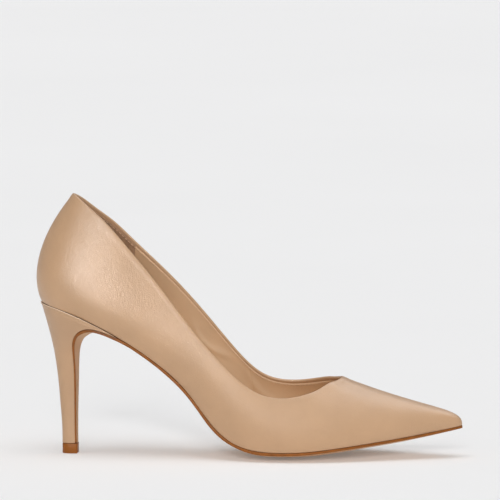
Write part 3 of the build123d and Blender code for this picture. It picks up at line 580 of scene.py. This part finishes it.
def upper_outline(length):
    """Heights and depths (mm) down one closed cut of the upper: outside, rim, inside, turned-in margin."""
    low = np.linspace(math.pi / 2.0, 0.0, 7)[:-1]
    tuck_height = TUCK_RADIUS - TUCK_RADIUS * np.sin(low)
    tuck_depth = TUCK_RADIUS - TUCK_RADIUS * np.cos(low)
    body = np.linspace(0.0, 1.0, 41)
    start, end = TUCK_RADIUS, (length - RIM_RADIUS)[:, None]
    body_height = start + (end - start) * body
    turns = np.linspace(0.0, math.pi, 11)[1:]
    rim_height = end + RIM_RADIUS * np.sin(turns)
    rim_depth = RIM_RADIUS * (1.0 - np.cos(turns))
    inside = np.concatenate([[0.03, 0.06, 0.1, 0.14], np.linspace(0.2, 1.0, 17)])
    inside_height = end + (UPPER_LOW - end) * inside
    thinner = UPPER_THICK - 2.0 * RIM_RADIUS
    faded = smooth_step((end - inside_height - FOLD_DEPTH) / FOLD_FADE)
    inside_depth = 2.0 * RIM_RADIUS + thinner * faded

    def rows(values):
        return np.tile(values, (len(length), 1))

    height = np.hstack([rows(tuck_height), body_height, rim_height, inside_height])
    depth = np.hstack([rows(tuck_depth), rows(np.zeros(len(body))), rows(rim_depth), inside_depth])
    return height, depth


def turned_margin(u):
    """The lasted margin: rows that run in from the feather line along the bottom, deepest first."""
    feather = wall(u, np.zeros((len(u), 1)))[:, 0]
    spine_x = np.clip(feather[:, 0], *SPINE)
    spine = np.column_stack([spine_x, (edge_y(spine_x, -1) + edge_y(spine_x, 1)) / 2.0])
    reach = np.linalg.norm(spine - feather[:, :2], axis=1)
    rows = []
    for run_in in MARGIN_ROWS:
        share = np.minimum(run_in / reach, 0.8)[:, None]
        spot = feather[:, :2] + (spine - feather[:, :2]) * share
        rows.append(np.column_stack([spot, bottom_z(spot[:, 0], spot[:, 1])]))
    return np.stack(rows, axis=1)


def make_upper():
    """The leather shell, with its step over the tape, its back seam and a slight unevenness."""
    u = round_stations()
    length, share = heights(u)
    height, depth = upper_outline(length)
    v = share(height)
    surface, normal = wall(u, v), wall_normal(u, v)
    outside = depth < 1e-6
    below_rim = length[:, None] - height
    tape_step = TAPE_STEP * smooth_step((below_rim - TAPE_WIDTH + 0.35) / 0.7)
    seam = SEAM_DEPTH * np.exp(-(along_back(u)[:, None] / SEAM_WIDTH)**2)
    uneven = ripple(surface, 0.035, 26.0, 3) * smooth_step((below_rim - 2.0) / 8.0)
    push = np.where(outside, tape_step + seam + uneven, 0.0)
    push += np.where((~outside) & (height < TUCK_RADIUS), TAPE_STEP + seam, 0.0)
    points = surface - normal * (depth + push)[:, :, None]
    points = np.concatenate([turned_margin(u), points], axis=1)
    rows, columns = points.shape[:2]
    faces = grid_faces(rows, columns, closed_rows=True, closed_columns=True)
    return add_mesh("upper_shell", points.reshape(-1, 3), faces, [upper_leather])


# ---------------- linings
def lining_piece(name, start, end, depth_at, material, seed):
    """A strip of lining between two places round the shoe; its grid is the face towards the upper."""
    u = np.linspace(start, end, int((end - start) / LINING_STEP) + 2)
    length, share = heights(u)
    top = (length - LINING_DROP - LINING_THICK / 2.0)[:, None]
    height = LINING_LOW + (top - LINING_LOW) * np.linspace(0.0, 1.0, 34)
    v = share(height)
    surface, normal = wall(u, v), wall_normal(u, v)
    below = length[:, None] - height
    depth = depth_at(surface, below)[:, :, None]
    # The creases stay off the cut edge and off the sock.
    loose = smooth_step((below - LINING_DROP - 1.5) / 6.0) * smooth_step((height - 9.0) / 5.0)
    uneven = np.abs(ripple(surface, 0.04, 17.0, seed)) + CREASE_HEIGHT * loose * soft_creases(surface, seed)
    grid = surface - normal * (depth + uneven[:, :, None])
    return sheet_piece(name, grid, LINING_THICK, [material], normals=normal)


def make_linings():
    """Vamp lining, both side linings and the suede heel grip, lapped where they meet."""
    outer_grip, inner_grip = place_of_x(GRIP_END, -1), place_of_x(GRIP_END, 1)
    outer_vamp, inner_vamp = place_of_x(VAMP_SEAM, -1), place_of_x(VAMP_SEAM, 1)
    lap, gap = 0.004, 0.001  # as shares of the way round

    def toe_depth(points, below):
        """Deeper in the toe, over the puff."""
        return np.interp(points[:, :, 0], [196.0, 210.0], [LINING_DEPTH, LINING_DEPTH + 0.45])

    def side_depth(points, below):
        """The same everywhere."""
        return np.full(below.shape, LINING_DEPTH)

    def grip_depth(points, below):
        """Deeper below the topline, over the counter."""
        return LINING_DEPTH + (GRIP_DEPTH - LINING_DEPTH) * smooth_step((below - 4.0) / 4.0)

    vamp = lining_piece("vamp_lining_skin", outer_vamp, inner_vamp, toe_depth, lining_leather, 12)
    lateral = lining_piece("quarter_lining_lateral_skin", outer_grip - lap, outer_vamp - gap,
                           side_depth, lining_leather, 12)
    medial = lining_piece("quarter_lining_medial_skin", inner_vamp + gap, inner_grip + lap,
                          side_depth, lining_leather, 12)
    # The grip runs round the back, where u passes through 0.
    grip = lining_piece("heel_grip_skin", inner_grip - 1.0, outer_grip, grip_depth, grip_suede, 14)
    return vamp, lateral, medial, grip


def capsule(centre, along, normal, length, radius):
    """One stitch: a short bead of thread, sunk a little at both ends."""
    side = np.cross(along, normal)
    rings, sides = 7, 8
    points = []
    for t in np.linspace(-1.0, 1.0, rings):
        swell = radius * math.sqrt(max(0.0, 1.0 - t**4)) + radius * 0.15
        for turn in np.linspace(0.0, 2.0 * math.pi, sides, endpoint=False):
            offset = side * math.cos(turn) * swell + normal * (math.sin(turn) * swell - radius * 0.5 * t**2)
            points.append(centre + along * t * length / 2.0 + offset)
    faces = grid_faces(rings, sides, closed_columns=True)
    ends = [np.arange(sides)[::-1], (rings - 1) * sides + np.arange(sides)]
    return np.array(points), [*map(tuple, faces), *map(tuple, ends)]


def make_stitches():
    """The row of thread that fixes the lining's cut edge under the folded topline."""
    u = np.linspace(0.0, 1.0, 4001)
    pitch, stitch, radius, below_edge, proud = 2.4, 1.9, 0.22, 0.9, 0.02
    length = np.interp(u, u[::10], heights(u[::10])[0])
    v = heights(u)[1]((length - LINING_DROP - below_edge)[:, None])
    normal = wall_normal(u, v)[:, 0]
    line = wall(u, v)[:, 0] - normal * (LINING_DEPTH + LINING_THICK + proud)
    run = run_lengths(line)
    points, faces, used = [], [], 0
    for place in np.arange(pitch, run[-1] - pitch, pitch):
        k = int(np.searchsorted(run, place))
        along = unit(line[min(k + 6, len(line) - 1)] - line[k - 6])
        p, f = capsule(line[k], along, -normal[k], stitch, radius)
        points.append(p)
        faces += [tuple(i + used for i in face) for face in f]
        used += len(p)
    return add_mesh("lining_stitches", np.vstack(points), faces, [thread])


# ---------------- bottom
def two_sides(ring):
    """The outer and the inner half of a ring round the shoe, both from the back to the toe."""
    ring = np.roll(ring, -int(np.argmin(ring[:, 0])), axis=0)
    front = int(np.argmax(ring[:, 0]))
    return ring[:front + 1], np.vstack([ring[front:], ring[:1]])[::-1]


def sock_edges():
    """Where the sock meets the linings: y and z on both sides as functions of x."""
    u = np.linspace(0.0, 1.0, 1601)[:-1]
    x = wall(u, np.zeros((len(u), 1)))[:, 0, 0]
    v = heights(u)[1](sock_top(x)[:, None])
    depth = np.where(x < GRIP_END, GRIP_DEPTH, LINING_DEPTH) + LINING_THICK + SOCK_MARGIN
    ring = wall(u, v)[:, 0] - wall_normal(u, v)[:, 0] * depth[:, None]
    outer, inner = two_sides(ring)
    outer[:, 0] = np.maximum.accumulate(outer[:, 0])
    inner[:, 0] = np.maximum.accumulate(inner[:, 0])
    return outer, inner


def sock_top(x):
    """Height of the sock's upper face above the lasted upper's underside."""
    return np.interp(x, *np.transpose(SOCK_HEIGHTS))


def make_sock():
    """The sock: it follows the bottom and curls up a little at its edges to meet the linings."""
    outer, inner = sock_edges()
    rear, front = max(outer[0, 0], inner[0, 0]), min(outer[-1, 0], inner[-1, 0])
    turns = np.linspace(0.0, math.pi, 121)
    run = front - (SOCK_REAR + SOCK_FRONT) - rear
    x = (rear + SOCK_REAR) + run * (1.0 - np.cos(turns)) / 2.0
    share = np.linspace(-1.0, 1.0, 25)
    outer_y, inner_y = np.interp(x, outer[:, 0], outer[:, 1]), np.interp(x, inner[:, 0], inner[:, 1])
    outer_z, inner_z = np.interp(x, outer[:, 0], outer[:, 2]), np.interp(x, inner[:, 0], inner[:, 2])
    middle, half = (outer_y + inner_y)[:, None] / 2.0, (inner_y - outer_y)[:, None] / 2.0
    y = middle + half * np.sin(share * math.pi / 2.0)
    reach = (y - middle) / half
    across_x = np.tile(x[:, None], (1, len(share)))
    flat = bottom_z(across_x, y) + (sock_top(x) * slope_stretch(x))[:, None]
    edge = np.where(reach < 0.0, outer_z[:, None], inner_z[:, None])
    edge_flat = np.where(reach < 0.0, flat[:, :1], flat[:, -1:])
    z = flat + np.abs(reach)**5 * np.clip(edge - edge_flat, -0.5, 1.5)
    grid = np.stack([across_x, y, z], axis=2)
    grid[:, :, 2] += ripple(grid, 0.05, 30.0, 21)
    return sheet_piece("insock_skin", grid[:, ::-1], SOCK_THICK, [sock_leather], rounding=3)


def outsole_cut(x, z, run, outer, inner, crown, thick, bulge):
    """Points round one cut of the outsole, square to its run, with a rounded edge on both sides."""
    down = np.array([-run[1], 0.0, run[0]])
    radius = thick / 2.0 * 0.9
    across = np.linspace(outer + radius, inner - radius, SOLE_ACROSS)
    share = 1.0 - (2.0 * (across - outer) / (inner - outer) - 1.0)**2
    level = np.column_stack([np.full(SOLE_ACROSS, x), across, np.full(SOLE_ACROSS, z)])
    top = level + np.outer(crown * share - SOLE_BITE, down)
    low = top + np.outer(thick + bulge * share, down)
    turns = np.linspace(0.0, math.pi, SOLE_ROUND + 2)[1:-1]

    def edge(upper_end, lower_end, side):
        middle, arm = (upper_end + lower_end) / 2.0, (upper_end - lower_end) / 2.0
        return [middle + arm * math.cos(t) + np.array([0.0, side * radius, 0.0]) * math.sin(t)**0.5
                for t in turns]

    right = edge(top[-1], low[-1], 1.0)
    left = edge(low[0], top[0], -1.0)
    return np.vstack([top, right, low[::-1], left])


def inset_edges(inset):
    """The feather outline moved in by inset: its front x, and outer and inner y as functions of x."""
    ring = FEATHER[:-1, :2]
    along = unit(np.roll(ring, -1, axis=0) - np.roll(ring, 1, axis=0))
    moved = ring + inset * np.column_stack([-along[:, 1], along[:, 0]])
    outer, inner = two_sides(moved)
    return outer[-1, 0], lambda x: np.interp(x, *outer.T), lambda x: np.interp(x, *inner.T)


def make_outsole():
    """The sole from the toe back to the waist, and on from there down the heel's breast as a flap."""
    front, outer_edge, inner_edge = inset_edges(SOLE_INSET)
    cuts = []
    turns = np.linspace(0.0, math.pi / 2.0, 110)
    for x in SOLE_JOIN + (front - 0.25 - SOLE_JOIN) * np.sin(turns[::-1]):
        slope = sole_z(x + 0.5) - sole_z(x - 0.5)
        run = -np.array([1.0, slope]) / math.hypot(1.0, slope)
        thick = np.interp(x, *np.transpose(SOLE_THICKNESS))
        outer, inner = outer_edge(x), inner_edge(x)
        crown = np.interp(x, CROWN_X, CROWN) * -run[0]
        room = min(1.0, (inner - outer) / 4.0)
        cuts.append(outsole_cut(x, sole_z(x), run, outer, inner, crown * room, thick, 0.0))
    rows = [(x, sole_z(x), outer_edge(x), inner_edge(x), SOLE_THICKNESS[0][1], 0.0, c)
            for x, c in ((66.0, 0.4), (WAIST, 0.2))]
    rows += [(x, z, -half, half, thick, bulge, 0.0) for x, z, half, thick, bulge in BREAST_LINE]
    line = smooth_line(rows, 900)
    first = int(np.argmax(line[:, 0] < SOLE_JOIN - 0.7))
    for k in np.linspace(first, len(line) - 2, 120).astype(int):
        x, z, outer, inner, thick, bulge, crown = line[k]
        run = unit(line[k + 1, :2] - line[k - 1, :2])
        cuts.append(outsole_cut(x, z, run, outer, inner, crown, thick, bulge))
    points = np.array(cuts)
    rows, columns = points.shape[:2]
    faces = grid_faces(rows, columns, closed_columns=True)[:, ::-1]
    column = np.tile(np.arange(columns), rows - 1)
    second_edge = 2 * SOLE_ACROSS + SOLE_ROUND - 1
    on_edge = (column >= SOLE_ACROSS - 1) & (column < SOLE_ACROSS + SOLE_ROUND) | (column >= second_edge)
    caps = [tuple(range(columns)), tuple((rows - 1) * columns + j for j in range(columns))[::-1]]
    slots = np.concatenate([on_edge.astype(int), [1, 1]])
    return add_mesh("outsole_skin", points.reshape(-1, 3), [*map(tuple, faces), *caps],
                    [sole_leather, edge_paint], slots)


# ---------------- heel
HEEL_TABLE = np.array(HEEL_SECTIONS, float)
HEEL_LEVELS = np.arange(len(HEEL_SECTIONS), dtype=float)
HEEL_SLOPES = spline_slopes(HEEL_LEVELS, HEEL_TABLE, False)


def heel_level(x, z):
    """Which heel section, from 0 at the foot to 8 at the seat, goes through each point in side view."""
    levels = np.linspace(0.0, len(HEEL_SECTIONS) - 1.0, 801)
    rear, rear_z, front, front_z = spline_at(HEEL_LEVELS, HEEL_TABLE, HEEL_SLOPES, levels)[:, :4].T
    planes = rear_z + (front_z - rear_z) * (np.ravel(x)[:, None] - rear) / (front - rear)
    found = [np.interp(height, plane, levels) for height, plane in zip(np.ravel(z), planes)]
    return np.reshape(found, np.shape(x))


def heel_half(x, z):
    """Half width of the heel at points of the side view."""
    section = spline_at(HEEL_LEVELS, HEEL_TABLE, HEEL_SLOPES, np.ravel(heel_level(x, z)))
    rear, widest, half = (section[:, k].reshape(np.shape(x)) for k in (0, 4, 5))
    reach = np.clip((widest - x) / (widest - rear), 0.0, 1.0)
    return half * np.sqrt(1.0 - reach**2)


def at_shares(line, share):
    """Points of a line in side view, at shares of its length."""
    run = run_lengths(line)
    return np.column_stack([np.interp(share * run[-1], run, line[:, k]) for k in (0, 1)])


def heel_rows():
    """Shares up the heel, the ends in side view of each row (on back and breast), and the rim's drop."""
    clearance = 0.1
    foot = TOP_PIECE[4] + clearance + COVER_THICK / 2.0
    rim = -SOLE_BITE + COVER_THICK / 2.0 + clearance
    back = smooth_line([(x, z) for x, z, *_ in HEEL_SECTIONS], 1200)
    back = back[(back[:, 1] >= foot) & (back[:, 1] <= sole_z(SOLE_LINE[0][0]) - rim)]
    rows = [(WAIST, float(sole_z(WAIST)))] + [(x, z) for x, z, *_ in BREAST_LINE]
    breast = smooth_line(rows, 1600)
    run = unit(np.gradient(breast, axis=0))
    breast = breast + COVER_SETBACK * np.column_stack([run[:, 1], -run[:, 0]])
    breast = breast[(breast[:, 0] <= HEEL_FRONT) & (breast[:, 1] >= foot)][::-1]
    breast_run = run_lengths(breast)
    share = np.linspace(0.0, 1.0, 110)
    bend = breast_run[np.argmax(breast[:, 1] >= BEND_HEIGHT)] / breast_run[-1]
    on_breast = np.interp(share, [0.0, 0.74, 1.0], [0.0, bend, 1.0])
    return share, at_shares(back, share), at_shares(breast, on_breast), rim


def make_heel_cover():
    """Leather round the heel, from the breast's outer edge round the back to its inner edge."""
    share, back, breast, rim = heel_rows()
    turn = np.linspace(0.0, 1.0, 34)**1.15 * math.pi / 2.0
    step = 1.0 - np.cos(turn)
    x = back[:, :1] + (breast[:, :1] - back[:, :1]) * step
    chord = back[:, 1:] + (breast[:, 1:] - back[:, 1:]) * step
    seat = sole_z(x) - rim * slope_stretch(x)
    chord_seat = seat[:, :1] + (seat[:, -1:] - seat[:, :1]) * step
    z = chord + smooth_step((share - 0.55) / 0.45)[:, None] * (seat - chord_seat)
    z = np.minimum(z, seat)
    half = heel_half(x, z)
    half[:, 0] = 0.0
    outer = np.stack([x, -half, z], axis=2)[:, ::-1]
    inner = np.stack([x, half, z], axis=2)[:, 1:]
    grid = np.concatenate([outer, inner], axis=1)
    normals = grid_normals(grid)
    middle = grid.mean(axis=1, keepdims=True)
    if np.sum(normals * (grid - middle)) < 0.0:
        normals = -normals
    below_seat = np.concatenate([(seat - z)[:, ::-1], (seat - z)[:, 1:]], axis=1)
    grid += normals * (RIM_FLARE * smooth_step(1.0 - below_seat / RIM_FLARE_HEIGHT))[:, :, None]
    # The rim under the seat gets the lighter leather: a painted highlight for the light the rounded rim
    # catches.
    return sheet_piece("heel_cover_skin", grid, COVER_THICK, [heel_leather, rim_highlight_leather],
                       normals=normals, edge_slot=1)


def make_top_piece():
    """The lift the heel stands on: a D in plan, with rounded edges and a slight waist."""
    rear, front, widest, half, height = TOP_PIECE
    turns = np.linspace(-math.pi / 2.0, math.pi / 2.0, 33)
    straight = np.linspace(front, widest, 8)[:-1]
    x = np.concatenate([straight, widest - (widest - rear) * np.cos(turns), straight[::-1]])
    y = np.concatenate([np.full(len(straight), -half), half * np.sin(turns), np.full(len(straight), half)])
    outline = np.column_stack([x, y])
    middle = np.array([(rear + front) / 2.0, 0.0])
    radius = 0.35
    levels = [(0.0, radius), (radius * 0.3, radius * 0.3), (radius, 0.0), (height * 0.5, 0.05),
              (height - radius, 0.0), (height - radius * 0.3, radius * 0.3), (height, radius)]
    reach = np.linalg.norm(outline - middle, axis=1, keepdims=True)
    rings = [np.column_stack([middle + (outline - middle) * (1.0 - inset / reach), np.full(len(x), z)])
             for z, inset in levels]
    points = np.vstack(rings)
    count = len(x)
    faces = [tuple(f) for f in grid_faces(len(rings), count, closed_columns=True)[:, ::-1]]
    faces += [tuple(range(count))[::-1], tuple((len(rings) - 1) * count + k for k in range(count))]
    return add_mesh("top_piece_skin", points, faces, [tip_polymer])


# ---------------- building
def stand_for(piece, slot, *nodes):
    """Puts a piece in the frame's one body in place of CAD nodes, and hides those nodes; the slot argument
    is not used.
    """
    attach(piece, "root")
    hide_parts(*nodes)


stand_for(make_upper(), "upper_leather", "upper")
vamp, lateral, medial, grip = make_linings()
stand_for(vamp, "lining_leather", "vamp_lining")
stand_for(lateral, "lining_leather", "quarter_lining_lateral")
stand_for(medial, "lining_leather", "quarter_lining_medial")
stand_for(grip, "grip_suede", "heel_grip")
sock = make_sock()
stand_for(sock, "sock_leather", "insock")
outsole = make_outsole()
stand_for(outsole, "sole_leather", "outsole")
stand_for(make_heel_cover(), "heel_leather", "heel_cover")
stand_for(make_top_piece(), "top_piece_polymer", "top_piece")
stitches = make_stitches()
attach(stitches, "root")

# The carried-over CAD nodes get looks of their own. The browns of the board, tape, fibre and heel plastic
# are painted shade: where these show in the narrow grooves at the seat and along the feather line, they
# stand for the brown shade there.
INNER_MATERIALS = {
    "stiffener_board": moulded("stiffener_board", (0.42, 0.28, 0.17), 0.6),
    "tape_fabric": woven("tape_fabric", (0.62, 0.42, 0.26)),
    "insole_fibre": moulded("insole_fibre", (0.42, 0.30, 0.20), 0.8, 0.12),
    "filler_foam": moulded("filler_foam", (0.28, 0.26, 0.24), 0.95, 0.2),
    "pad_foam": moulded("pad_foam", (0.84, 0.80, 0.70), 0.9, 0.06),
    "steel": steel("steel"),
    "heel_plastic": moulded("heel_plastic", (0.34, 0.20, 0.11), 0.45),
}
SLOT_OF_NODE = {entry["node"]: entry["material_slot"] for entry in frame["record"]["subparts"]}
for node, cad_piece in frame["nodes"].items():
    if SLOT_OF_NODE[node] in INNER_MATERIALS:
        cad_piece.data.materials.clear()
        cad_piece.data.materials.append(INNER_MATERIALS[SLOT_OF_NODE[node]])


# ---------------- studio
SPOT_RADIUS, SPOT_WIDTH = 0.08, 11.0  # metres, and degrees
AIR_LIGHT = 0.30
VIEW_AZIMUTH, VIEW_ELEVATION = 7.0, 5.7  # degrees round to the toe, and above the floor
VIEW_DISTANCE = 8.0
VIEW_WIDTH = 0.2875  # metres across the picture at the shoe
VIEW_TARGET = (123.3, 0.0, 118.7)  # mm, what the picture is centred on
SENSOR_WIDTH = 36.0


def make_floor():
    """A plain pale floor that runs far out past the shoe on every side."""
    steps = np.array([-60.0, -20.0, -6.0, -2.0, 2.0, 6.0, 20.0, 60.0])
    points = [(x, y, 0.0) for x in steps for y in steps]
    mesh = bpy.data.meshes.new("studio_floor")
    mesh.from_pydata(points, [], [tuple(map(int, f)) for f in grid_faces(8, 8)])
    paper = Look("studio_paper")
    paper.tint(paper.noise(3.0), (0.855, 0.855, 0.86), (0.865, 0.865, 0.87))
    mesh.materials.append(paper.finished({"Roughness": 0.9, "Specular IOR Level": 0.0}))
    floor = bpy.data.objects.new("studio_floor", mesh)
    bpy.context.collection.objects.link(floor)
    return floor


def group_of(name, objects):
    """A named group of objects that a light can be kept to."""
    group = bpy.data.collections.new(name)
    for piece in objects:
        group.objects.link(piece)
    return group


def outwards(turn, rise):
    """Direction away from the shoe: degrees round from the front to the toe, and above the floor."""
    turn, rise = math.radians(turn), math.radians(rise)
    return Vector((math.sin(turn) * math.cos(rise), -math.cos(turn) * math.cos(rise), math.sin(rise)))


def soft_sun(name, turn, rise, strength, width, lit, gloss_only=False, shadowed_by=None):
    """A far, soft light, width degrees across in the sky, kept to the pieces in lit."""
    lamp = bpy.data.lights.new(name, "SUN")
    lamp.energy, lamp.angle = strength, math.radians(width)
    holder = bpy.data.objects.new(name, lamp)
    holder.rotation_euler = outwards(turn, rise).to_track_quat("Z", "Y").to_euler()
    holder.visible_diffuse = not gloss_only
    holder.light_linking.receiver_collection = lit
    holder.light_linking.blocker_collection = shadowed_by
    bpy.context.collection.objects.link(holder)


def soft_spot(name, turn, rise, target, power):
    """A soft spotlight, a metre off, that puts a highlight on one place of the shoe (mm)."""
    lamp = bpy.data.lights.new(name, "SPOT")
    lamp.energy, lamp.shadow_soft_size = power, SPOT_RADIUS
    lamp.spot_size, lamp.spot_blend = math.radians(SPOT_WIDTH), 1.0
    holder = bpy.data.objects.new(name, lamp)
    holder.location = Vector((np.array(target) + SHIFT) * MM) + outwards(turn, rise)
    holder.rotation_euler = outwards(turn, rise).to_track_quat("Z", "Y").to_euler()
    holder.visible_diffuse = False
    bpy.context.collection.objects.link(holder)


def make_studio(floor):
    """White air and soft lights, some kept to the shoe and some to the floor."""
    shoe = group_of("lit_shoe", [piece for piece in bpy.context.scene.objects
                                 if piece.type == "MESH" and piece != floor])
    paper = group_of("lit_paper", [floor])
    sole = group_of("shading_sole", [outsole])
    world = bpy.data.worlds.new("studio_air")
    world.use_nodes = True
    world.node_tree.nodes["Background"].inputs["Color"].default_value = (1.0, 1.0, 1.0, 1.0)
    world.node_tree.nodes["Background"].inputs["Strength"].default_value = AIR_LIGHT
    bpy.context.scene.world = world
    # The whole shoe shades only the wash, because the photo's shadow lies just behind the forefoot.
    soft_sun("floor_wash", -5.0, 76.0, 0.60, 45.0, lit=paper)
    soft_sun("floor_fill", 0.0, 80.0, 1.00, 60.0, lit=paper, shadowed_by=paper)
    soft_sun("floor_low", 5.0, 15.0, 2.25, 14.0, lit=paper, shadowed_by=sole)
    soft_sun("top", 5.0, 66.0, 1.10, 60.0, lit=shoe)
    soft_sun("front", 0.0, 24.0, 0.83, 40.0, lit=shoe)
    soft_sun("toe_side", 75.0, 12.0, 0.33, 50.0, lit=shoe)
    soft_sun("back", 175.0, 48.0, 0.28, 40.0, lit=shoe)
    soft_sun("back_gloss", 150.0, 58.0, 1.1, 40.0, lit=shoe, gloss_only=True)
    soft_spot("heel_gloss_low", -2.0, 10.0, (42.0, -28.0, 96.0), 12.0)
    soft_spot("heel_gloss_middle", -12.0, 18.0, (36.0, -26.0, 102.0), 11.0)
    soft_spot("heel_gloss_high", -24.0, 27.0, (30.0, -24.0, 112.0), 46.0)


def make_camera():
    """A long lens at the angle of the photo."""
    back = outwards(VIEW_AZIMUTH, VIEW_ELEVATION)
    lens = bpy.data.cameras.new("studio_camera")
    lens.sensor_width = SENSOR_WIDTH
    lens.lens = SENSOR_WIDTH * VIEW_DISTANCE / VIEW_WIDTH
    lens.clip_end = 100.0
    camera = bpy.data.objects.new("studio_camera", lens)
    camera.location = Vector((np.array(VIEW_TARGET) + SHIFT) * MM) + back * VIEW_DISTANCE
    camera.rotation_euler = (-back).to_track_quat("-Z", "Y").to_euler()
    bpy.context.collection.objects.link(camera)
    bpy.context.scene.camera = camera


make_studio(make_floor())
make_camera()
bpy.context.scene.view_settings.view_transform = "Standard"
